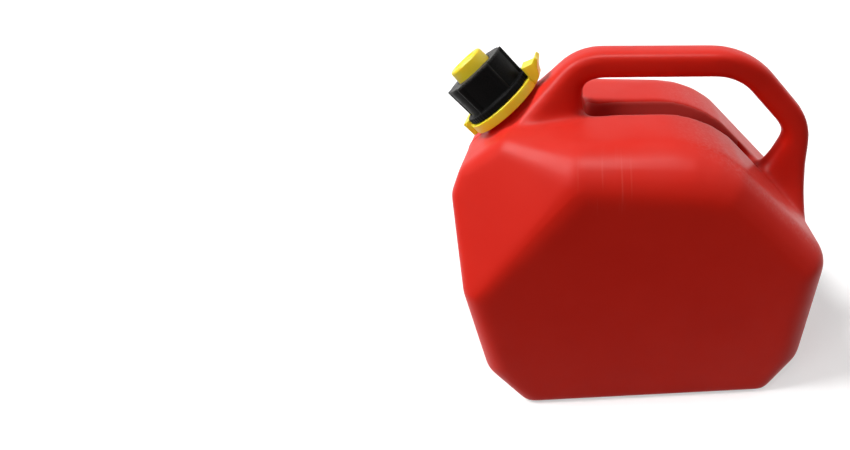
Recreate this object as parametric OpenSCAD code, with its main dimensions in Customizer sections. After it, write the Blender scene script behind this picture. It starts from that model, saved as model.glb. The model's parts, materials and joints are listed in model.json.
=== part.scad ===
// Ten litre petrol can: a hollow blow-moulded tank with a carrying handle, closed by a screw collar
// that holds the stowed pouring spout and its stopper, and is locked by a ring with a thumb lever.
// The front, with the filler neck and the label, faces -X. The tank stands on z = 0.

/* [Tank] */
// Width across the two side faces
tank_w = 188; // [150:1:220]
// Height of the flat deck beside the handle
deck_h = 260; // [230:1:300]
// Distance of the front face ahead of the origin, at the top of its lower chamfer
front_x = 143.5; // [125:0.5:150]
// Distance of the rear face behind the origin
rear_x = 156; // [140:1:165]
// Outward lean of the front face, in degrees
front_lean = 2; // [0:0.5:6]
// Front end of the flat base, ahead of the origin
base_front = 115; // [95:1:120]
// Rear end of the flat base, behind the origin
base_rear = 129; // [105:1:135]
// Height of the chamfer at the bottom of the front face
front_chamfer_h = 40; // [25:1:60]
// Height of the chamfer at the bottom of the rear face
rear_chamfer_h = 36; // [25:1:60]
// Height where the front face and the neck slope would meet without their bend
neck_slope_h = 222.5; // [212:0.5:230]
// Bend radius from the front face to the neck slope
brow_bend_r = 48; // [30:1:60]
// Slope of the neck plane, and tilt of the neck's axis from upright
neck_tilt = 37.5; // [34:0.5:42]
// Height where the rear face meets the rear slope
rear_slope_h = 157.5; // [150:0.5:185]
// Rear slope, in degrees below the level
rear_slope = 45; // [40:1:50]
// Bend radius from the deck to the rear slope
deck_bend_r = 95; // [60:1:110]
// Thickness of the moulded wall
wall = 2.6; // [2:0.1:4]

/* [Corner facets] */
// Half width of the neck slope between the two corner facets
facet_half_w = 47; // [40:1:58]
// Where a corner facet ends on the deck's side edge, ahead of the origin
facet_back = 30; // [15:1:45]
// Height where a corner facet meets the front vertical edge
facet_low_h = 124; // [115:1:150]

/* [Rounding] */
// Radius around the base
base_r = 6.5; // [4:0.5:12]
// Radius of the base's corners as seen from above
base_corner_r = 18; // [12:1:30]
// Radius of the front vertical edges
front_edge_r = 25; // [15:1:30]
// Radius of the rear vertical edges
rear_edge_r = 28; // [15:1:34]
// Radius from the deck to the sides
shoulder_r = 38; // [25:1:46]
// Radius from the rear slope to the sides
rear_shoulder_r = 30; // [20:1:40]
// Radius where the neck slope, the deck and a corner facet meet
facet_r = 18; // [12:1:30]
// Radius where a corner facet meets the deck and the side
facet_top_r = 32; // [18:1:38]
// Radius where a corner facet meets the front and the side
facet_edge_r = 20; // [12:1:26]
// Radius along the bend from the front face to the neck slope, at a corner facet
brow_r = 15; // [12:1:26]

/* [Handle] */
// Finger gap between the deck and the bar
grip_gap = 27; // [22:1:40]
// Width of the bar
handle_w = 28; // [22:0.5:34]
// Width of the handle at its rear bend
rear_w = 21; // [16:0.5:28]
// Thickness of the bar
handle_t = 21; // [17:0.5:26]
// How far the front leg's face stands proud of the neck slope
leg_raise = 5; // [0:0.5:7]
// Where the level bar ends, behind the origin
bar_end_x = 83; // [70:1:95]
// Slope of the bend behind the bar, in degrees below the level
bend_slope = 45; // [40:1:50]
// How far the rear leg's face stands in from the rear face at the bend
rear_leg_in = 8; // [0:0.5:12]
// Bend radius from the front leg to the bar
front_bend_r = 40; // [30:1:55]
// Bend radius at the bar's rear end
bar_bend_r = 60; // [40:1:65]
// Bend radius from the rear bend to the rear leg
rear_bend_r = 45; // [30:1:50]
// Half width of the finger channel under the bar
channel_half_w = 12.4; // [9:0.2:15]
// Depth of the finger channel
channel_d = 20; // [10:1:26]
// Front end of the finger channel, ahead of the origin
channel_front = 46; // [30:1:48]
// Rear end of the finger channel, behind the origin
channel_rear = 112; // [95:1:116]

/* [Neck and thread] */
// Outer radius of the neck
neck_r = 20.5; // [18:0.1:22]
// Wall of the neck
neck_wall = 2.5; // [2:0.1:3.5]
// Distance of the neck's axis up the neck slope from its sharp lower corner
neck_up = 60.5; // [57:0.5:64]
// Rise of the thread in one turn
thread_pitch = 5; // [4:0.25:6]
// Depth of the thread
thread_d = 1.8; // [1.2:0.1:2.2]
// Turns of the neck's thread
neck_turns = 2.5; // [1.5:0.25:3]
// Turns of the collar's thread
collar_turns = 1.5; // [1:0.25:2]
// Gap between pieces that turn or slide on each other
clearance = 0.3; // [0.2:0.05:0.5]

/* [Collar and stopper] */
// Outer radius of the collar between its ribs
collar_r = 25.4; // [25:0.1:27]
// Number of grip ribs around the collar
collar_ribs = 6; // [4:1:10]
// Radius of a grip rib
rib_r = 2.8; // [2:0.1:4]
// How far the ribs stand out from the collar
rib_out = 2; // [0.6:0.1:2.4]
// Height of the collar
collar_h = 28.6; // [26:0.1:32]
// Height of the toothed skirt at the collar's foot
skirt_h = 4.8; // [3:0.1:6]
// Outer radius of the toothed skirt
skirt_r = 30.4; // [29.5:0.1:31]
// Number of teeth around the skirt
skirt_teeth = 60; // [36:4:72]
// Thickness of the collar's top
collar_top = 2.5; // [2:0.1:4]
// Radius of the hole in the collar's top
collar_hole_r = 15.8; // [15:0.1:18]
// Radius of the stopper's stub at its foot
stub_r = 15.2; // [12:0.1:15.4]
// Height of the stub above the collar
stub_h = 9.2; // [5:0.1:14]
// Thickness of the flanges held under the collar
flange_t = 1.9; // [1.5:0.1:2.5]
// Thickness of the gasket
gasket_t = 1.4; // [1:0.1:2]

/* [Spout] */
// Length of the pouring spout, stowed inside the tank
spout_l = 150; // [100:1:165]
// Outer radius of the spout at its foot
spout_foot_r = 15.2; // [14:0.1:16]
// Outer radius of the spout at its tip
spout_tip_r = 9.5; // [7:0.1:12]
// Wall of the spout
spout_wall = 1.9; // [1.5:0.1:2.5]

/* [Lock ring] */
// Height of the lock ring
ring_h = 7.5; // [6:0.1:9]
// Outer radius of the lock ring
ring_r = 32.2; // [31.6:0.1:34]
// Height of the bead on the neck that carries the ring
bead_h = 4.7; // [3:0.1:6]
// Width of the grip tab at the ring's front
tab_w = 23; // [16:0.5:28]
// Height of the grip tab above the ring
tab_rise = 4.5; // [2:0.1:7]
// How far the grip tab stands out from the ring
tab_out = 2.5; // [1:0.1:4]
// Height of the thumb lever above the ring
lever_rise = 9; // [5:0.1:10]
// Reach of the thumb lever beyond the ring
lever_out = 13.8; // [12:0.1:20]
// Width of the thumb lever at its root in the ring
lever_root_w = 15; // [12:0.5:20]
// Width of the thumb lever's waist
lever_waist = 13.5; // [8:0.5:14]
// Width across the two points of the thumb lever's tail
lever_tail_w = 16; // [12:0.5:20]

/* [Label] */
// Half width of the label's top edge
label_top_half = 39; // [25:1:46]
// Half width of the label at its widest
label_half_w = 71; // [50:1:72]
// Height of the label's bottom edge
label_low = 115.5; // [95:0.5:120]
// Height of the label's top edge
label_high = 191.5; // [170:0.5:195]
// Radius of the label's lower corners
label_r = 18; // [8:1:22]
// Radius of the label's upper corners
label_top_r = 3; // [1:0.5:8]
// Thickness of the label
label_t = 0.3; // [0.2:0.05:0.5]

/* [Hidden] */
red = [0.78, 0.1, 0.07];
yellow = [0.98, 0.8, 0.1];
black = [0.07, 0.07, 0.07];
ball_fn = 32;
ring_fn = 96;

// Side outline of the tank as sharp [x, z] corners, anticlockwise from the front end of the base
front_top_x = -front_x - (neck_slope_h - front_chamfer_h) * tan(front_lean);
neck_top_x = front_top_x + (deck_h - neck_slope_h) / tan(neck_tilt);
slope_top_x = rear_x - (deck_h - rear_slope_h) / tan(rear_slope);
// How far a flat that touches a bend halfway cuts the two sides of the bend's sharp corner
function cut_back(r, turn) = r * (tan(turn / 2) - tan(turn / 4));
brow_cut = cut_back(brow_bend_r, 90 + front_lean - neck_tilt);
// Corners of the flats around the bend from the deck to the rear slope, from the slope up
deck_flats = 3;
deck_step = rear_slope / (deck_flats + 1);
deck_arc = [for (k = [deck_flats:-1:0])
    let (a = deck_step * (k + 0.5), r = deck_bend_r / cos(deck_step / 2))
    [slope_top_x - deck_bend_r * tan(rear_slope / 2) + r * sin(a), deck_h - deck_bend_r + r * cos(a)]];
rear_outline = [[-base_front, 0], [base_rear, 0], [rear_x, rear_chamfer_h], [rear_x, rear_slope_h]];
front_outline = [
    [neck_top_x, deck_h],
    [front_top_x + brow_cut * cos(neck_tilt), neck_slope_h + brow_cut * sin(neck_tilt)],
    [front_top_x + brow_cut * sin(front_lean), neck_slope_h - brow_cut * cos(front_lean)],
    [-front_x, front_chamfer_h]];

// Planes as [outward normal, distance from the origin]
function unit(v) = v / norm(v);
function edge_plane(p, q) =
    let (n = unit([q[1] - p[1], 0, p[0] - q[0]])) [n, n * [p[0], 0, p[1]]];
function plane_through(a, b, c) = let (n = unit(cross(b - a, c - a))) [n, n * a];
// Centre of a ball of radius r that touches three planes from inside
function meet(p, q, s, r) =
    ((p[1] - r) * cross(q[0], s[0]) + (q[1] - r) * cross(s[0], p[0]) + (s[1] - r) * cross(p[0], q[0]))
    / (p[0] * cross(q[0], s[0]));

base = edge_plane(rear_outline[0], rear_outline[1]);
rear_chamfer = edge_plane(rear_outline[1], rear_outline[2]);
rear = edge_plane(rear_outline[2], rear_outline[3]);
slope = edge_plane(rear_outline[3], deck_arc[0]);
bends = [for (i = [1:deck_flats]) edge_plane(deck_arc[i - 1], deck_arc[i])];
deck = edge_plane(deck_arc[deck_flats], front_outline[0]);
neck_slope = edge_plane(front_outline[0], front_outline[1]);
brow = edge_plane(front_outline[1], front_outline[2]);
front = edge_plane(front_outline[2], front_outline[3]);
front_chamfer = edge_plane(front_outline[3], rear_outline[0]);
roof = concat([slope], bends, [deck]);
side = [[0, -1, 0], tank_w / 2];
facet_low_x = -front_x - (facet_low_h - front_chamfer_h) * tan(front_lean);
facet = plane_through([front_top_x, -facet_half_w, neck_slope_h],
                      [facet_low_x, -tank_w / 2, facet_low_h],
                      [-facet_back, -tank_w / 2, deck_h]);
// Corners of the near half, each as the centre and radius of its rounding
roof_corners = [for (i = [0:deck_flats])
    [roof[i], roof[i + 1], side, rear_shoulder_r + (shoulder_r - rear_shoulder_r) * i / deck_flats]];
corners = [for (c = concat(roof_corners, [
    [rear_chamfer, rear, side, rear_edge_r], [rear, slope, side, rear_edge_r],
    [deck, facet, side, facet_top_r], [deck, neck_slope, facet, facet_r],
    [neck_slope, brow, facet, brow_r], [brow, front, facet, brow_r], [front, facet, side, facet_edge_r],
    [front, front_chamfer, side, front_edge_r]]))
    [meet(c[0], c[1], c[2], c[3]), c[3]]];
base_corners = [meet(base, rear_chamfer, side, base_r), meet(front_chamfer, base, side, base_r)];

// A ball of radius r, widened all round by out
module ball(r, out = 0) {
    step = 360 / ball_fn;
    rim = [for (a = [-90:step:90]) [out + r * cos(a), r * sin(a)]];
    rotate_extrude($fn = ball_fn)
        polygon(concat([[0, -r]], rim, [[0, r]]));
}

// The rounded tank, or its hollow when inset by the wall
module tank_form(inset) {
    wide = base_corner_r - base_r;
    hull() {
        for (c = corners, y = [-1, 1])
            translate([c[0][0], y * c[0][1], c[0][2]]) ball(c[1] - inset);
        for (c = base_corners, y = [-1, 1])
            translate([c[0] - sign(c[0]) * wide, y * (c[1] + wide), c[2]]) ball(base_r - inset, wide);
    }
}

// Path of the handle's centre line as [x, z, bend radius], from inside the front to inside the rear
bar_z = deck_h + grip_gap + handle_t / 2;
leg_root = 16;
leg_sink = 2;
// Point at a distance up the neck slope from the deck's front edge, and at a depth below the slope
function on_slope(up, depth) =
    [neck_top_x + up * cos(neck_tilt) + depth * sin(neck_tilt),
     deck_h + up * sin(neck_tilt) - depth * cos(neck_tilt)];
leg_foot = on_slope(-leg_root, handle_t / 2 + leg_sink);
leg_line = on_slope(0, handle_t / 2 - leg_raise);
leg_top_x = leg_line[0] + (bar_z - leg_line[1]) / tan(neck_tilt);
rear_leg_x = rear_x - rear_leg_in - handle_t / 2;
rear_bend_z = bar_z - (rear_leg_x - bar_end_x) * tan(bend_slope);
rear_root = 5;
handle_path = [
    concat(leg_foot, 0), [leg_top_x, bar_z, front_bend_r],
    [bar_end_x, bar_z, bar_bend_r], [rear_leg_x, rear_bend_z, rear_bend_r],
    [rear_leg_x + rear_leg_in, rear_slope_h - rear_root, 0]];

// Points along a path whose corners are rounded to their bend radius
bend_steps = 7;
leg_steps = 10;
bar_steps = 3;
function xz(p) = [p[0], p[1]];
function corner_arc(a, b, c) =
    let (u = unit(xz(a) - xz(b)), v = unit(xz(c) - xz(b)), half = acos(u * v) / 2,
         reach = b[2] / tan(half), mid = xz(b) + unit(u + v) * b[2] / sin(half),
         p = xz(b) + u * reach - mid, q = xz(b) + v * reach - mid, turn = 180 - 2 * half)
    [for (i = [0:bend_steps])
        mid + (p * sin(turn * (1 - i / bend_steps)) + q * sin(turn * i / bend_steps)) / sin(turn)];
function line_points(a, b, n) = [for (i = [0:n - 1]) a + (b - a) * i / n];
turns = [for (i = [1:len(handle_path) - 2])
    corner_arc(handle_path[i - 1], handle_path[i], handle_path[i + 1])];
stations = concat(
    line_points(xz(handle_path[0]), turns[0][0], leg_steps), turns[0],
    line_points(turns[0][bend_steps], turns[1][0], bar_steps), turns[1], turns[2],
    line_points(turns[2][bend_steps], xz(handle_path[4]), leg_steps), [xz(handle_path[4])]);
last_station = len(stations) - 1;
distances = [for (i = 0, s = 0; i <= last_station; i = i + 1,
    s = i > last_station ? s : s + norm(stations[i] - stations[i - 1])) s];
function direction(i) = unit(stations[min(i + 1, last_station)] - stations[max(i - 1, 0)]);

// How far a station lies along the narrowing rear bends, from 0 at the bar's end to 1
narrow_from = leg_steps + bend_steps + 1 + bar_steps;
narrow_to = narrow_from + bend_steps;
function narrowing(i) =
    let (start = distances[narrow_from], share = (distances[i] - start) / (distances[narrow_to] - start))
    max(0, min(1, share));

// Extra size of a leg at distance s from its root
function swell(s, w) = s >= w[1] ? 0 : w[0] * pow(1 - s / w[1], w[2]);
// Each swelling as [size, reach, power]: across and inwards, of the front leg and of the rear leg
leg_swell_w = [40, 104, 2];
leg_swell_in = [200, 82, 2];
rear_swell_w = [26, 75, 2];
rear_swell_in = [79, 88, 1.5];
ring_points = 24;
softness = 2 / 3.4;
function soft(x) = sign(x) * pow(abs(x), softness);
// One cross section of the handle, with its flat side out and its legs swelling inwards
function handle_ring(i, inset) =
    let (s = distances[i], left = distances[last_station] - s, d = direction(i), out = [-d[1], d[0]],
         bar_w = handle_w + (rear_w - handle_w) * narrowing(i),
         half_w = bar_w / 2 - inset + swell(s, leg_swell_w) + swell(left, rear_swell_w),
         top = handle_t / 2 - inset,
         under = top + swell(s, leg_swell_in) + swell(left, rear_swell_in))
    [for (k = [0:ring_points - 1])
        let (a = 360 * k / ring_points, v = soft(sin(a)),
             p = stations[i] + out * v * (v > 0 ? top : under))
        [p[0], -half_w * soft(cos(a)), p[1]]];

// Closed skin over rings of points, each anticlockwise as seen along the row of rings
module loft(rings) {
    n = len(rings[0]);
    last = len(rings) - 1;
    sides = [for (i = [0:last - 1], k = [0:n - 1])
        each [[i * n + k, i * n + (k + 1) % n, (i + 1) * n + k],
              [i * n + (k + 1) % n, (i + 1) * n + (k + 1) % n, (i + 1) * n + k]]];
    ends = [[for (k = [n - 1:-1:0]) k], [for (k = [0:n - 1]) last * n + k]];
    polyhedron([for (r = rings) each r], concat(sides, ends));
}

module handle_form(inset) {
    loft([for (i = [0:last_station]) handle_ring(i, inset)]);
}

// The finger channel along the deck and the rear slope, grown by a wall for the hollow behind it
channel_ramp = 30;
module channel_form(grow) {
    half = channel_half_w + grow;
    floor_z = deck_h - channel_d - grow;
    slope_drop = (channel_d + grow) / cos(rear_slope);
    function slope_z(x) = deck_h - (x - slope_top_x) * tan(rear_slope);
    turn_x = slope_top_x - (channel_d + grow) * tan(rear_slope / 2);
    ramp_x = channel_rear - channel_ramp;
    intersection() {
        rotate([90, 0, 0])
            linear_extrude(2 * half, center = true)
                polygon([[-channel_front - grow, deck_h + grip_gap], [-channel_front - grow, floor_z],
                         [turn_x, floor_z], [ramp_x, slope_z(ramp_x) - slope_drop],
                         [channel_rear + grow, slope_z(channel_rear + grow) + grow],
                         [channel_rear + grow, deck_h + grip_gap]]);
        linear_extrude(deck_h + 2 * grip_gap) {
            translate([-channel_front + channel_half_w, 0]) circle(half, $fn = ring_fn);
            translate([-channel_front + channel_half_w, -half])
                square([channel_rear + channel_front + 2 * grow, 2 * half]);
        }
    }
}

// The neck's own frame: its axis is z, z = 0 lies on the neck slope and +x points at the handle
neck_foot = [front_top_x + neck_up * cos(neck_tilt), 0, neck_slope_h + neck_up * sin(neck_tilt)];
module on_neck() {
    translate(neck_foot) rotate([0, -neck_tilt, 0]) children();
}

// Heights along the neck, from the bead up to the collar's top
ring_top = bead_h + ring_h;
collar_low = ring_top + clearance;
collar_high = collar_low + collar_h;
stopper_high = collar_high - collar_top - clearance;
spout_high = stopper_high - flange_t;
gasket_high = spout_high - flange_t;
neck_h = gasket_high - gasket_t - clearance;
thread_lead = 3.5;
thread_low = collar_low + thread_lead;
collar_bore_r = neck_r + thread_d + clearance;
neck_bore_r = neck_r - neck_wall;
bead_out = 5;
bead_r = neck_r + bead_out;
neck_sink = 9;
thread_fn = 36;
rib_fn = 32;

// A screw thread that stands out from radius r by depth, or in where depth is negative
tooth_root = 0.22 * thread_pitch;
tooth_crest = 0.12 * thread_pitch;
tooth_sink = 0.4;
module thread(r, depth, low, turns) {
    foot_r = r - sign(depth) * tooth_sink;
    tooth = [[foot_r, -tooth_root], [r + depth, -tooth_crest],
             [r + depth, tooth_crest], [foot_r, tooth_root]];
    loft([for (i = [0:turns * thread_fn])
        let (a = 360 * i / thread_fn, z = low + thread_pitch * i / thread_fn)
        [for (k = [0:3])
            let (p = tooth[depth > 0 ? k : 3 - k]) [p[0] * cos(a), p[0] * sin(a), z + p[1]]]]);
}

// Blow-moulded tank with its handle and threaded neck, open at the neck
module tank() {
    color(red)
        difference() {
            union() {
                difference() {
                    tank_form(0);
                    channel_form(0);
                }
                handle_form(0);
                on_neck() {
                    translate([0, 0, -neck_sink])
                        cylinder(neck_h + neck_sink, r = neck_r, $fn = ring_fn);
                    translate([0, 0, -neck_sink])
                        cylinder(neck_sink, bead_r + bead_out, bead_r, $fn = ring_fn);
                    cylinder(bead_h, r = bead_r, $fn = ring_fn);
                    thread(neck_r, thread_d, thread_low, neck_turns);
                }
            }
            difference() {
                tank_form(wall);
                channel_form(wall);
            }
            handle_form(wall);
            on_neck()
                translate([0, 0, -2 * neck_sink])
                    cylinder(neck_h + 3 * neck_sink, r = neck_bore_r, $fn = ring_fn);
        }
}

// Lock ring around the neck, with a grip tab at the front and a notch for the thumb lever
notch_d = 5;
notch_in = ring_r - notch_d;
module lock_ring() {
    notch_w = lever_root_w + 2 * clearance;
    color(yellow)
        on_neck()
            difference() {
                translate([0, 0, bead_h]) {
                    cylinder(ring_h, r = ring_r, $fn = ring_fn);
                    translate([-ring_r - tab_out, -tab_w / 2, 0])
                        cube([ring_r, tab_w, ring_h + tab_rise]);
                }
                cylinder(ring_r, r = neck_r + clearance, $fn = ring_fn);
                translate([0, 0, ring_top]) cylinder(ring_r, r = skirt_r + clearance, $fn = ring_fn);
                translate([notch_in, -notch_w / 2, 0]) cube([2 * notch_d, notch_w, ring_r]);
            }
}

// Thumb lever that leans out over the handle's leg and is pressed down to free the collar's teeth
lever_in = skirt_r + 2 * clearance;
lever_low = bead_h + clearance;
lever_high = ring_top + lever_rise;
lever_end = ring_r + lever_out;
arm_share = 0.42;
waist_share = 0.55;
waist_dip = 2.5;
arm_t = 3;
tail_t = 2.8;
tail_nick = 1.2;
edge_cut = 1;
root_cut = 1.4;
module lock_lever() {
    root_in = notch_in + clearance;
    arm_x = ring_r + arm_share * lever_out;
    waist_x = ring_r + waist_share * lever_out;
    tail_x = lever_end - edge_cut;
    side_view = [[root_in, lever_low], [ring_r, lever_low], [arm_x, lever_low + arm_t],
                 [waist_x + edge_cut, ring_top + edge_cut], [lever_end, lever_high - tail_t],
                 [tail_x, lever_high], [waist_x, lever_high - waist_dip],
                 [lever_in + arm_t, lever_high - edge_cut], [lever_in, lever_high],
                 [lever_in, ring_top], [root_in, ring_top - root_cut]];
    half_plan = [[root_in, lever_root_w / 2], [ring_r, lever_root_w / 2],
                 [waist_x, lever_waist / 2], [tail_x, lever_tail_w / 2],
                 [lever_end, lever_tail_w / 2 - edge_cut]];
    plan = concat(half_plan, [[lever_end - tail_nick, 0]],
                  [for (i = [len(half_plan) - 1:-1:0]) [half_plan[i][0], -half_plan[i][1]]]);
    color(yellow)
        on_neck()
            intersection() {
                rotate([90, 0, 0]) linear_extrude(2 * lever_root_w, center = true) polygon(side_view);
                linear_extrude(2 * lever_high) polygon(plan);
            }
}

// Round screw collar with grip ribs, a toothed skirt and a thread inside
rib_turn = 10;
tooth_d = 0.7;
hole_lobe_r = 3.4;
module screw_collar() {
    color(black)
        on_neck() {
            difference() {
                translate([0, 0, collar_low]) {
                    cylinder(collar_h, r = collar_r, $fn = ring_fn);
                    for (i = [1:collar_ribs])
                        rotate(rib_turn + 360 * i / collar_ribs)
                            translate([collar_r + rib_out - rib_r, 0, 0])
                                cylinder(collar_h, r = rib_r, $fn = rib_fn);
                    linear_extrude(skirt_h)
                        polygon([for (i = [0:2 * skirt_teeth - 1])
                            let (r = skirt_r - (i % 2) * tooth_d, a = 180 * i / skirt_teeth)
                            [r * cos(a), r * sin(a)]]);
                }
                translate([0, 0, collar_low - collar_top])
                    cylinder(collar_h, r = collar_bore_r, $fn = ring_fn);
                translate([0, 0, collar_low]) {
                    cylinder(2 * collar_h, r = collar_hole_r, $fn = ring_fn);
                    for (i = [0, 1])
                        rotate(rib_turn - 180 / collar_ribs + 180 * i)
                            translate([collar_hole_r, 0, 0])
                                cylinder(2 * collar_h, r = hole_lobe_r, $fn = rib_fn);
                }
            }
            thread(collar_bore_r, -thread_d, thread_low + thread_pitch / 2, collar_turns);
        }
}

// Stopper: a flange under the collar, a stub with a raised rim above it and a plug in the spout below
plug_l = 8;
stub_taper = 0.7;
rim_w = 5;
rim_r = 1.2;
rim_d = 1.2;
flange_r = neck_r - clearance;
spout_bore_r = spout_foot_r - spout_wall;
module stopper() {
    stub_high = collar_high + stub_h;
    plug_r = spout_bore_r - clearance / 2;
    rim_out = stub_r - stub_taper;
    color(yellow)
        on_neck()
            rotate_extrude($fn = ring_fn)
                polygon([[0, spout_high - plug_l], [plug_r, spout_high - plug_l], [plug_r, spout_high],
                         [flange_r, spout_high], [flange_r, stopper_high], [stub_r, stopper_high],
                         [rim_out, stub_high - rim_r], [rim_out - rim_r, stub_high],
                         [rim_out - rim_w, stub_high], [rim_out - rim_w, stub_high - rim_d],
                         [0, stub_high - rim_d]]);
}

// Pouring spout, stowed upside down through the neck
spout_straight = 20;
module spout() {
    low = spout_high - spout_l;
    straight_low = spout_high - spout_straight;
    color(yellow)
        on_neck()
            rotate_extrude($fn = ring_fn)
                polygon([[spout_bore_r, spout_high], [spout_bore_r, straight_low],
                         [spout_tip_r - spout_wall, low], [spout_tip_r, low],
                         [spout_foot_r, straight_low], [spout_foot_r, gasket_high],
                         [flange_r, gasket_high], [flange_r, spout_high]]);
}

// Rubber gasket between the spout's flange and the neck's rim
module neck_gasket() {
    hole_r = spout_foot_r + clearance / 2;
    color(black)
        on_neck()
            translate([0, 0, gasket_high - gasket_t])
                difference() {
                    cylinder(gasket_t, r = flange_r, $fn = ring_fn);
                    translate([0, 0, -gasket_t]) cylinder(3 * gasket_t, r = hole_r, $fn = ring_fn);
                }
}

// Printed label on the front face
module front_label() {
    function up(z) = (z - front_chamfer_h) / cos(front_lean);
    rounds = [[label_top_half, label_high - label_top_r, label_top_r],
              [label_half_w, label_low + label_r, label_r]];
    color(black)
        translate([-front_x, 0, front_chamfer_h])
            rotate([0, -front_lean, 0])
                rotate([90, 0, -90])
                    linear_extrude(label_t)
                        hull()
                            for (c = rounds, y = [-1, 1])
                                translate([y * (c[0] - c[2]), up(c[1])]) circle(c[2], $fn = rib_fn);
}

tank();
lock_ring();
lock_lever();
screw_collar();
stopper();
spout();
neck_gasket();
front_label();
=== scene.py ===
import json
import math

import bmesh
import bpy
from mathutils import Matrix, Vector


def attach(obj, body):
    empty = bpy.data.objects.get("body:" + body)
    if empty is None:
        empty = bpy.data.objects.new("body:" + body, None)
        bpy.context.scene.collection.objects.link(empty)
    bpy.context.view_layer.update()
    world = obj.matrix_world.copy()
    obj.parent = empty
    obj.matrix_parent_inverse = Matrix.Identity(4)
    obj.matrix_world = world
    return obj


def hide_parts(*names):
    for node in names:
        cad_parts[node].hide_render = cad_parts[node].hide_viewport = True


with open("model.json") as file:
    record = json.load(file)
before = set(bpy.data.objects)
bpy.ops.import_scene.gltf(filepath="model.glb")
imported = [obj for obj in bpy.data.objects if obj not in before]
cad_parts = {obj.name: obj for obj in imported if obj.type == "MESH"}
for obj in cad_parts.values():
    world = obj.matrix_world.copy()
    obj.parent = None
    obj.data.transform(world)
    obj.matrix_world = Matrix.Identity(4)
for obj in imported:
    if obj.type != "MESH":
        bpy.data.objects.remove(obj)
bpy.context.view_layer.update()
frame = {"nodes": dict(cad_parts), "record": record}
scene = bpy.context.scene
scene.view_settings.view_transform = "Standard"

# Camera
# The photograph looks down on the can's near side from a short distance, with a wide lens.
# The can stands in the right half of the frame, so the lens is shifted to keep that place.
PHOTO_W = 850
PHOTO_H = 450
FOCAL_PX = 492.5
CENTRE_X = 635.8
CENTRE_Y = 212.2
SENSOR = 36.0
NEAREST = 0.01
EYE = (-0.03126, -0.37944, 0.42132)
PAN = math.radians(-4.709)
PITCH = math.radians(90 - 35.054)
ROLL = math.radians(1.126)
lens = bpy.data.cameras.new("lens")
lens.sensor_width = SENSOR
lens.lens = FOCAL_PX / PHOTO_W * SENSOR
lens.shift_x = (PHOTO_W / 2 - CENTRE_X) / PHOTO_W
lens.shift_y = (CENTRE_Y - PHOTO_H / 2) / PHOTO_W
lens.clip_start = NEAREST
camera = bpy.data.objects.new("camera", lens)
scene.collection.objects.link(camera)
camera.matrix_world = (
    Matrix.Translation(EYE) @ Matrix.Rotation(PAN, 4, "Z") @ Matrix.Rotation(PITCH, 4, "X")
    @ Matrix.Rotation(ROLL, 4, "Z"))
scene.camera = camera

# Studio
# A plain pale floor under broad lights from above, from the front and, weaker, from behind. Two
# soft lights show only as sheen on rounded edges. The background is white to the eye and in
# reflections, and the fill on the object stays low.
WHITE = (1, 1, 1, 1)
FILL = 0.14
BACKDROP = 1.0
FLOOR_SIZE = 6.0
FLOOR_BOUNCE = (0.12, 0.12, 0.12, 1)
FLOOR_WHITE = (0.7, 0.7, 0.7, 1)
FLOOR_GLOW = 0.4
SHEEN_STRENGTH = 5.0
SHEEN_SPREAD = 25


def add_sun(name, towards, strength, spread):
    """A far lamp in a direction. Its spread is in degrees."""
    sun = bpy.data.lights.new(name, "SUN")
    sun.energy = strength
    sun.angle = math.radians(spread)
    holder = bpy.data.objects.new(name, sun)
    scene.collection.objects.link(holder)
    holder.rotation_euler = Vector(towards).to_track_quat("Z", "Y").to_euler()
    return holder


def seen_directly(tree):
    """1 for what the camera sees straight, in a reflection or through glass, else 0."""
    path = tree.nodes.new("ShaderNodeLightPath")
    socket = path.outputs["Is Camera Ray"]
    for kind in ("Is Glossy Ray", "Is Transmission Ray"):
        either = tree.nodes.new("ShaderNodeMath")
        either.operation = "MAXIMUM"
        tree.links.new(socket, either.inputs[0])
        tree.links.new(path.outputs[kind], either.inputs[1])
        socket = either.outputs[0]
    return socket


add_sun("key_light", towards=(-0.54, 0.0, 0.85), strength=2.9, spread=16)
add_sun("front_light", towards=(-0.8, -0.6, 0.45), strength=1.1, spread=30)
add_sun("back_light", towards=(0.8, 0.35, 0.6), strength=0.9, spread=60)
for name, towards in (("left_sheen", (-0.68, -0.22, 0.68)), ("top_sheen", (0.0, -0.2, 0.97))):
    add_sun(name, towards, SHEEN_STRENGTH, SHEEN_SPREAD).visible_diffuse = False

world = bpy.data.worlds.new("studio")
scene.world = world
world.use_nodes = True
sky = world.node_tree
level = sky.nodes.new("ShaderNodeMapRange")
level.inputs["To Min"].default_value = FILL
level.inputs["To Max"].default_value = BACKDROP
sky.nodes["Background"].inputs["Color"].default_value = WHITE
sky.links.new(seen_directly(sky), level.inputs["Value"])
sky.links.new(level.outputs["Result"], sky.nodes["Background"].inputs["Strength"])

floor_bm = bmesh.new()
bmesh.ops.create_grid(floor_bm, x_segments=1, y_segments=1, size=FLOOR_SIZE)
floor_mesh = bpy.data.meshes.new("floor")
floor_bm.to_mesh(floor_mesh)
floor_bm.free()
floor = bpy.data.objects.new("floor", floor_mesh)
scene.collection.objects.link(floor)
floor_paint = bpy.data.materials.new("pale_floor")
floor_paint.use_nodes = True
floor_tree = floor_paint.node_tree
floor_colour = floor_tree.nodes.new("ShaderNodeValToRGB")
floor_colour.color_ramp.elements[0].color = FLOOR_BOUNCE
floor_colour.color_ramp.elements[1].color = FLOOR_WHITE
floor_shader = floor_tree.nodes["Principled BSDF"]
floor_shader.inputs["Roughness"].default_value = 1.0
floor_shader.inputs["Specular IOR Level"].default_value = 0.0
floor_shader.inputs["Emission Color"].default_value = WHITE
floor_glow = floor_tree.nodes.new("ShaderNodeMath")
floor_glow.operation = "MULTIPLY"
floor_glow.inputs[1].default_value = FLOOR_GLOW
floor_seen = seen_directly(floor_tree)
floor_tree.links.new(floor_seen, floor_colour.inputs["Fac"])
floor_tree.links.new(floor_seen, floor_glow.inputs[0])
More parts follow.
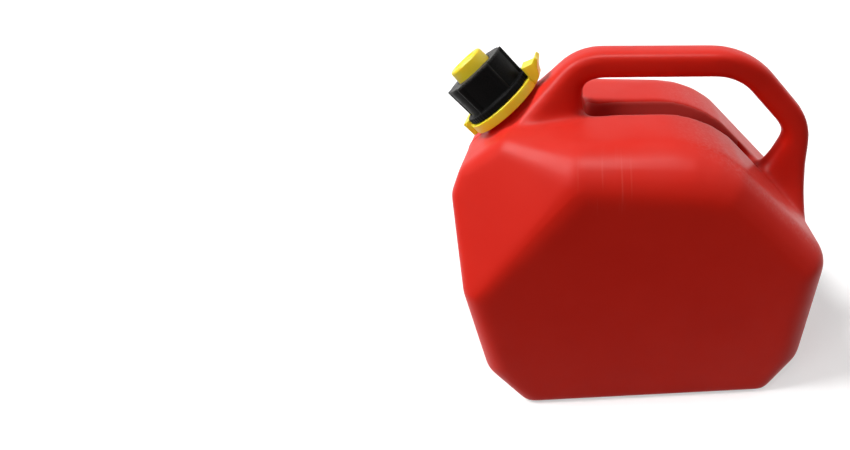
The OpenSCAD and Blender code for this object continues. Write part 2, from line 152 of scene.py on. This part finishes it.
floor_tree.links.new(floor_glow.outputs[0], floor_shader.inputs["Emission Strength"])
floor_tree.links.new(floor_colour.outputs["Color"], floor_shader.inputs["Base Color"])
floor_mesh.materials.append(floor_paint)

# Tank
# One hollow blow moulding of red polyethylene, with the handle, the neck and the base in it.
# The skin is soft at every edge, and a fine parting line runs round it where the mould halves met.
MM = 0.001
MERGE = 0.002 * MM
NECK_CUT = 3 * MM
NECK_REACH = 40 * MM
NECK_SLACK = 0.001 * MM
VOXEL = 2.1 * MM
SMOOTHING = 0.5
FIRST_PASSES = 6
SOFT_PASSES = 40
LEAST_SOFT = 0.07
FRONT_ROOT = Vector((-55, 33, 261)) * MM
REAR_ROOT = Vector((125, 12, 187)) * MM
ROOT_CORE = 22.5 * MM
ROOT_REACH = 45 * MM
SEAM_W = 0.7 * MM
SEAM_H = 0.45 * MM
SEAM_SLACK = 0.01 * MM
SEAM_NEAR = 0.07 * MM
SEAM_FAINT = 0.35
SEAM_ENDS = (138 * MM, 148 * MM)
BROW_AHEAD = (95 * MM, 115 * MM)
BROW_Z = (190 * MM, 205 * MM)
BASE_Z = 2 * MM
joints = {joint["name"]: joint for joint in frame["record"]["behaviour"]["joints"]}
neck_axis = Vector(joints["collar_turn"]["axis"])
on_neck = Matrix.Translation(joints["collar_turn"]["pos_m"]) @ Matrix.Rotation(
    -Vector((0, 0, 1)).angle(neck_axis), 4, "Y")
to_neck = on_neck.inverted()


def solid_copy(node):
    """A merged copy of a node's mesh."""
    bm = bmesh.new()
    bm.from_mesh(frame["nodes"][node].data)
    bmesh.ops.remove_doubles(bm, verts=bm.verts, dist=MERGE)
    return bm


def from_neck(co):
    """Distance of a place from the neck's axis."""
    return (to_neck @ co).xy.length


def cut_at_neck(bm, keep_above):
    """Cuts the neck across its foot and keeps what lies above, or below, the cut."""
    near = [f for f in bm.faces if all(from_neck(v.co) < NECK_REACH for v in f.verts)]
    edges = {e for f in near for e in f.edges}
    verts = {v for f in near for v in f.verts}
    bmesh.ops.bisect_plane(
        bm, geom=[*verts, *edges, *near], dist=NECK_SLACK,
        plane_co=on_neck @ Vector((0, 0, NECK_CUT)), plane_no=neck_axis,
        clear_inner=keep_above, clear_outer=not keep_above)


def keep_shell(bm, start):
    """Deletes every face that isn't joined to the start vertex."""
    reached = {start}
    rim = [start]
    while rim:
        v = rim.pop()
        for w in [e.other_vert(v) for e in v.link_edges]:
            if w not in reached:
                reached.add(w)
                rim.append(w)
    bmesh.ops.delete(bm, geom=[v for v in bm.verts if v not in reached], context="VERTS")


def new_piece(name, bm):
    mesh = bpy.data.meshes.new(name)
    bm.to_mesh(mesh)
    bm.free()
    piece = bpy.data.objects.new(name, mesh)
    scene.collection.objects.link(piece)
    return piece


def finish_modifiers(piece):
    """Replaces a piece's mesh by what its modifiers make of it."""
    bpy.context.view_layer.update()
    made = bpy.data.meshes.new_from_object(
        piece.evaluated_get(bpy.context.evaluated_depsgraph_get()))
    piece.modifiers.clear()
    piece.data = made


def add_smoothing(piece, passes, group=""):
    soften = piece.modifiers.new("soften", "SMOOTH")
    soften.factor = SMOOTHING
    soften.iterations = passes
    soften.vertex_group = group


def mould_skin(piece, voxel, passes):
    """Gives a piece one even skin with rounded edges, as a mould leaves it."""
    skin = piece.modifiers.new("skin", "REMESH")
    skin.mode = "VOXEL"
    skin.voxel_size = voxel
    add_smoothing(piece, passes)
    finish_modifiers(piece)


def eased(value, low, high):
    """0 below low, 1 above high, and a smooth rise between."""
    t = min(1, max(0, (value - low) / (high - low)))
    return t * t * (3 - 2 * t)


def soft_share(co):
    """How far the skin may soften: most where the handle's legs flow into the tank."""
    half = Vector((co.x, abs(co.y), co.z))
    off_roots = min((half - root).length for root in (FRONT_ROOT, REAR_ROOT))
    return LEAST_SOFT + (1 - LEAST_SOFT) * (1 - eased(off_roots, ROOT_CORE, ROOT_REACH))


def seam_rise(co):
    """Height of the parting line: plain on the brow, faint elsewhere, and sunk into the base."""
    on_brow = eased(-co.x, *BROW_AHEAD) * eased(co.z, *BROW_Z)
    off_ends = 1 - eased(abs(co.x), *SEAM_ENDS)
    share = SEAM_FAINT + (1 - SEAM_FAINT) * on_brow
    return SEAM_H * share * off_ends * (1 if co.z > BASE_Z else -1)


tank_bm = solid_copy("tank")
cut_at_neck(tank_bm, keep_above=False)
keep_shell(tank_bm, min(tank_bm.verts, key=lambda v: v.co.z))
bmesh.ops.holes_fill(tank_bm, edges=[e for e in tank_bm.edges if e.is_boundary])
tank = new_piece("can_body", tank_bm)
mould_skin(tank, VOXEL, FIRST_PASSES)
share = tank.vertex_groups.new(name="soft_share")
for vertex in tank.data.vertices:
    share.add([vertex.index], soft_share(vertex.co), "REPLACE")
add_smoothing(tank, SOFT_PASSES, "soft_share")
finish_modifiers(tank)

tank_bm = bmesh.new()
tank_bm.from_mesh(tank.data)
for place in (-SEAM_W, 0, SEAM_W):
    bmesh.ops.bisect_plane(
        tank_bm, geom=[*tank_bm.verts, *tank_bm.edges, *tank_bm.faces], dist=SEAM_SLACK,
        plane_co=(0, place, 0), plane_no=(0, 1, 0))
tank_bm.normal_update()
for vertex in [v for v in tank_bm.verts if abs(v.co.y) < SEAM_NEAR]:
    vertex.co += vertex.normal * seam_rise(vertex.co)
for face in tank_bm.faces:
    face.smooth = True
neck_bm = solid_copy("tank")
cut_at_neck(neck_bm, keep_above=True)
keep_shell(neck_bm, max(
    [v for v in neck_bm.verts if from_neck(v.co) < NECK_REACH],
    key=lambda v: (to_neck @ v.co).z))
bmesh.ops.bridge_loops(neck_bm, edges=[e for e in neck_bm.edges if e.is_boundary])
neck_mesh = bpy.data.meshes.new("neck")
neck_bm.to_mesh(neck_mesh)
neck_bm.free()
tank_bm.from_mesh(neck_mesh)
tank_bm.to_mesh(tank.data)
tank_bm.free()
tank.vertex_groups.clear()


class Paint:
    """A material fed by node chains on object coordinates. Its noise scales are per metre."""

    USUAL_NOISE = (0.3, 0.7)

    def __init__(self, name, specular):
        self.material = bpy.data.materials.new(name)
        self.material.use_nodes = True
        self.tree = self.material.node_tree
        self.shader = self.tree.nodes["Principled BSDF"]
        self.shader.inputs["Specular IOR Level"].default_value = specular
        coordinates = self.add("ShaderNodeTexCoord").outputs
        self.place = coordinates["Object"]
        self.facing = coordinates["Normal"]

    def set(self, socket, value):
        """Sets a socket to a value or links it to another node's output."""
        if isinstance(value, bpy.types.NodeSocket):
            self.tree.links.new(value, socket)
        else:
            socket.default_value = value

    def add(self, kind, inputs=None):
        """A new node with its named or numbered inputs set."""
        node = self.tree.nodes.new(kind)
        for key, value in (inputs or {}).items():
            self.set(node.inputs[key], value)
        return node

    def noise(self, scale, detail=2.0, place=None):
        return self.add("ShaderNodeTexNoise", {
            "Vector": place or self.place, "Scale": scale, "Detail": detail}).outputs["Fac"]

    def mottle(self, scale, detail=2.0, low=0.0, high=1.0):
        """Noise with its usual range taken to another."""
        return self.span(self.noise(scale, detail), *self.USUAL_NOISE, low, high)

    def stretched(self, scales):
        return self.add("ShaderNodeMapping", {
            "Vector": self.place, "Scale": scales}).outputs["Vector"]

    def parts(self, vector):
        """The X, Y and Z of a vector."""
        return self.add("ShaderNodeSeparateXYZ", {"Vector": vector}).outputs

    def span(self, value, low, high, to_low=0.0, to_high=1.0):
        """Takes a value's range from low to high, clamped, to another range."""
        return self.add("ShaderNodeMapRange", {
            "Value": value, "From Min": low, "From Max": high,
            "To Min": to_low, "To Max": to_high}).outputs["Result"]

    def reckon(self, operation, first, second=0.0):
        node = self.add("ShaderNodeMath", {0: first, 1: second})
        node.operation = operation
        return node.outputs[0]

    def plus(self, first, second):
        return self.reckon("ADD", first, second)

    def times(self, first, *others):
        for other in others:
            first = self.reckon("MULTIPLY", first, other)
        return first

    def measure(self, operation, first, second):
        """A number from two vectors, such as their distance."""
        node = self.add("ShaderNodeVectorMath", {0: first, 1: second})
        node.operation = operation
        return node.outputs["Value"]

    def blend(self, share, first, second):
        """Goes from the first colour to the second as the share goes from 0 to 1."""
        node = self.tree.nodes.new("ShaderNodeMix")
        node.data_type = "RGBA"
        # A colour mix has its share at input 0, its colours at 6 and 7, and its result at output 2.
        amount, one, other = (node.inputs[i] for i in (0, 6, 7))
        self.set(amount, share)
        for socket, colour in ((one, first), (other, second)):
            self.set(socket, (*colour, 1) if isinstance(colour, tuple) else colour)
        return node.outputs[2]

    def between(self, value, low, high):
        """1 where a value lies between two limits, else 0."""
        off = self.reckon("ABSOLUTE", self.reckon("SUBTRACT", value, (low + high) / 2))
        return self.reckon("LESS_THAN", off, (high - low) / 2)

    def near(self, centre, reach):
        """1 at a place, falling to 0 at a distance from it."""
        return self.span(self.measure("DISTANCE", self.place, centre), 0.0, reach, 1.0, 0.0)

    def feed(self, socket, value):
        self.set(self.shader.inputs[socket], value)

    def relief(self, height, strength, depth):
        bump = self.add("ShaderNodeBump", {
            "Height": height, "Strength": strength, "Distance": depth})
        self.feed("Normal", bump.outputs["Normal"])

    def cover(self, piece):
        piece.data.materials.clear()
        piece.data.materials.append(self.material)


BODY_REDS = ((0.640, 0.0145, 0.0062), (0.675, 0.0175, 0.0078))
SCRATCH_STRETCH = (420, 14, 14)
SCRATCH_SPAN = (0.6, 0.72)
# The scuffs are pale scratches on the shoulder, made strong enough to stand also as a painted
# sheen.
SCUFF_AND_SHEEN_AT = (-0.030, -0.086, 0.242)
SCUFF_AND_SHEEN_REACH = 0.030
SCUFF_AND_SHEEN_RED = (0.75, 0.14, 0.11)
SCUFF_AND_SHEEN_SHARE = 0.42
SCUFF_ROUGH = 0.12
SCUFF_SINK = -0.6
# The pale blend on faces turned up or to the rear is partly dust and partly a painted sheen.
DUST_AND_SHEEN_PALE = (0.75, 0.6, 0.55)
UP_SPAN = (0.2, 0.95)
GROOVE_X = (-48 * MM, 92 * MM)
GROOVE_Z = (165 * MM, 259.5 * MM)
GROOVE_HALF = 13.5 * MM
GROOVE_DUST = 0.09
REAR_TILT = (0.64, 0, 0.77)
REAR_SPAN = (0.8, 0.97)
REAR_DUST_AND_SHEEN = 0.055
SPECK_SPAN = (0.45, 0.65)
red = Paint("red_tank_plastic", specular=0.06)
scratches = red.span(red.noise(1, detail=3, place=red.stretched(SCRATCH_STRETCH)), *SCRATCH_SPAN)
# Pale scuffs on the shoulder: partly scratches, partly a painted sheen.
scuffs_and_sheen = red.times(scratches, red.near(SCUFF_AND_SHEEN_AT, SCUFF_AND_SHEEN_REACH))
body_red = red.blend(red.mottle(scale=16, detail=3), *BODY_REDS)
# Up-facing faces get a faint pale veil: partly dust, partly a painted sheen.
deck_dust_and_sheen = red.times(red.span(red.parts(red.facing)["Z"], *UP_SPAN),
                      red.mottle(scale=40, detail=4, low=0.02, high=0.034))
red_at = red.parts(red.place)
in_groove = red.times(red.between(red_at["X"], *GROOVE_X), red.between(red_at["Z"], *GROOVE_Z),
                      red.between(red_at["Y"], -GROOVE_HALF, GROOVE_HALF))
# The rear slope gets pale specks: partly dust, partly a painted sheen from the light behind.
on_rear = red.span(red.measure("DOT_PRODUCT", red.facing, REAR_TILT), *REAR_SPAN)
specks = red.span(red.noise(scale=420, detail=3), *SPECK_SPAN)
dust_and_sheen = red.plus(red.plus(deck_dust_and_sheen, red.times(in_groove, GROOVE_DUST)),
                red.times(on_rear, specks, REAR_DUST_AND_SHEEN))
dust_and_sheen_red = red.blend(dust_and_sheen, body_red, DUST_AND_SHEEN_PALE)
red.feed("Base Color", red.blend(red.times(scuffs_and_sheen, SCUFF_AND_SHEEN_SHARE), dust_and_sheen_red, SCUFF_AND_SHEEN_RED))
red.feed("Roughness", red.plus(red.mottle(scale=60, detail=4, low=0.34, high=0.4),
                               red.times(scuffs_and_sheen, SCUFF_ROUGH)))
red.relief(red.plus(red.noise(scale=850, detail=3), red.times(scuffs_and_sheen, SCUFF_SINK)),
           strength=0.1, depth=0.3 * MM)
red.cover(tank)
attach(tank, "tank_body")
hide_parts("tank")

# Lock ring and thumb lever
# Both are yellow injection mouldings with small rounded edges. The ring clips on the neck's bead.
# Its lever springs out over the handle's leg, and its tail is a pad for the thumb.
FLAT_ANGLE = math.radians(1)
SHARP_ANGLE = math.radians(30)
SLIVER = 0.005 * MM
YELLOWS = ((0.95, 0.70, 0.018), (0.98, 0.76, 0.026))
YELLOW_SCATTER = {
    "Subsurface Weight": 0.6, "Subsurface Radius": (1.0, 0.75, 0.15), "Subsurface Scale": 6 * MM}


def rounded_copy(name, node, width, segments=2):
    """A copy of a node with its sharp edges rounded."""
    bm = solid_copy(node)
    bmesh.ops.dissolve_limit(bm, angle_limit=FLAT_ANGLE, verts=bm.verts, edges=bm.edges)
    piece = new_piece(name, bm)
    edge = piece.modifiers.new("edges", "BEVEL")
    edge.width = width
    edge.segments = segments
    edge.limit_method = "ANGLE"
    edge.angle_limit = SHARP_ANGLE
    edge.use_clamp_overlap = True
    finish_modifiers(piece)
    bm = bmesh.new()
    bm.from_mesh(piece.data)
    bmesh.ops.remove_doubles(bm, verts=bm.verts, dist=SLIVER)
    bmesh.ops.dissolve_degenerate(bm, edges=bm.edges, dist=SLIVER)
    bm.to_mesh(piece.data)
    bm.free()
    piece.data.shade_smooth()
    piece.modifiers.new("normals", "WEIGHTED_NORMAL")
    finish_modifiers(piece)
    return piece


yellow = Paint("yellow_closure_plastic", specular=0.25)
yellow.feed("Base Color", yellow.blend(yellow.mottle(scale=90), *YELLOWS))
yellow.feed("Roughness", yellow.mottle(scale=300, detail=3, low=0.32, high=0.46))
yellow.relief(yellow.noise(scale=1500), strength=0.08, depth=0.2 * MM)
for socket, value in YELLOW_SCATTER.items():
    yellow.feed(socket, value)

ring = rounded_copy("lock_ring_body", "lock_ring", width=0.6 * MM)
yellow.cover(ring)
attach(ring, "tank_body")
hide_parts("lock_ring")

lever = rounded_copy("thumb_lever", "lock_lever", width=0.7 * MM, segments=3)
yellow.cover(lever)
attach(lever, "lever")
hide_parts("lock_lever")

# Stowed spout, gasket and stopper
# The spout hangs upside down in the neck, its flange on a rubber gasket. The stopper closes its
# mouth and shows as a short stub in the collar's hole. Spout and stopper are yellow mouldings.
RUBBER_BLACKS = ((0.015, 0.015, 0.015), (0.03, 0.03, 0.03))
stopper = rounded_copy("stopper_body", "stopper", width=0.9 * MM, segments=3)
yellow.cover(stopper)
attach(stopper, "closure")
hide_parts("stopper")
yellow.cover(frame["nodes"]["spout"])

rubber = Paint("gasket_rubber", specular=0.3)
rubber.feed("Base Color", rubber.blend(rubber.noise(scale=120), *RUBBER_BLACKS))
rubber.feed("Roughness", rubber.mottle(scale=400, low=0.6, high=0.8))
rubber.relief(rubber.noise(scale=2500), strength=0.1, depth=0.1 * MM)
rubber.cover(frame["nodes"]["neck_gasket"])

# Screw collar
# A black injection moulding with grip ribs, a toothed skirt for the lever and a thread inside.
# Its edges are a little rounded, its sides are smooth, and its finely grained top has a painted
# grey sheen.
COLLAR_VOXEL = 0.55 * MM
COLLAR_PASSES = 5
COLLAR_TOP = 39 * MM
TOP_FADE = 1.5 * MM
SIDE_BLACKS = ((0.003, 0.003, 0.003), (0.006, 0.0055, 0.0055))
TOP_SHEEN_GREYS = ((0.018, 0.018, 0.017), (0.07, 0.068, 0.066))
GRAIN_SPAN = (0.35, 0.7)
collar = new_piece("screw_collar_body", solid_copy("screw_collar"))
mould_skin(collar, COLLAR_VOXEL, COLLAR_PASSES)
collar.data.shade_smooth()
black = Paint("black_collar_plastic", specular=0.03)
top_at = neck_axis.dot(on_neck.translation) + COLLAR_TOP
along_neck = black.measure("DOT_PRODUCT", black.place, neck_axis)
on_top = black.span(along_neck, top_at, top_at + TOP_FADE)
grain = black.span(black.noise(scale=900, detail=3), *GRAIN_SPAN)
# The top is painted lighter grey than the sides: a painted sheen from the light above.
black.feed("Base Color", black.blend(
    on_top, black.blend(grain, *SIDE_BLACKS), black.blend(grain, *TOP_SHEEN_GREYS)))
black.feed("Roughness", black.mottle(scale=250, detail=3, low=0.3, high=0.48))
black.relief(grain, strength=0.12, depth=0.2 * MM)
black.cover(collar)
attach(collar, "collar")
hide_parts("screw_collar")

# Front label
# A printed film stuck on the front face, with rounded corners. Its design is a generic one in
# black, yellow and orange: a disc with a drop, slanted stripes and a band along the foot.
BAND_Z = (115 * MM, 125 * MM)
LINE_Z = (127.5 * MM, 129.5 * MM)
DISC_Y = 17 * MM
DISC_Z = 160 * MM
DISC_R = 19 * MM
DROP_Z = 154.5 * MM
DROP_R = 7 * MM
DROP_TIP = 18 * MM
STRIPE_STEP = 9 * MM
STRIPE_SLANT = 0.6
STRIPE_Y = (-44 * MM, -12 * MM)
STRIPE_Z = (141 * MM, 179 * MM)
GROUND_INKS = ((0.006, 0.006, 0.0065), (0.009, 0.009, 0.0095))
YELLOW_INK = (0.86, 0.56, 0.02)
ORANGE_INK = (0.80, 0.22, 0.02)
DROP_INK = (0.008, 0.008, 0.009)
label = rounded_copy("front_label_film", "front_label", width=0.1 * MM)
film = Paint("label_film", specular=0.03)
film_at = film.parts(film.place)
across, up = film_at["Y"], film_at["Z"]
flat = film.add("ShaderNodeCombineXYZ", {"Y": across, "Z": up}).outputs["Vector"]


def on_disc(z, radius):
    """1 inside a circle on the disc's middle line, else 0."""
    return film.reckon("LESS_THAN", film.measure("DISTANCE", flat, (0, DISC_Y, z)), radius)


band = film.between(up, *BAND_Z)
line = film.between(up, *LINE_Z)
disc = on_disc(DISC_Z, DISC_R)
narrowing = film.span(up, DROP_Z, DROP_Z + DROP_TIP, DROP_R, 0.0)
drop_side = film.reckon("ABSOLUTE", film.reckon("SUBTRACT", across, DISC_Y))
tip = film.times(film.reckon("LESS_THAN", drop_side, narrowing),
                 film.reckon("GREATER_THAN", up, DROP_Z))
drop = film.reckon("MAXIMUM", tip, on_disc(DROP_Z, DROP_R))
slant = film.plus(across, film.times(up, STRIPE_SLANT))
in_step = film.reckon("FLOORED_MODULO", slant, STRIPE_STEP)
stripe = film.reckon("LESS_THAN", in_step, STRIPE_STEP / 2)
stripes = film.times(stripe, film.between(across, *STRIPE_Y), film.between(up, *STRIPE_Z))
ink = film.blend(film.noise(scale=60), *GROUND_INKS)
for shape, colour in ((band, YELLOW_INK), (line, ORANGE_INK), (stripes, ORANGE_INK),
                      (disc, YELLOW_INK), (drop, DROP_INK)):
    ink = film.blend(shape, ink, colour)
film.feed("Base Color", ink)
film.feed("Roughness", film.mottle(scale=90, low=0.28, high=0.36))
film.relief(film.noise(scale=600), strength=0.03, depth=0.1 * MM)
film.cover(label)
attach(label, "tank_body")
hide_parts("front_label")
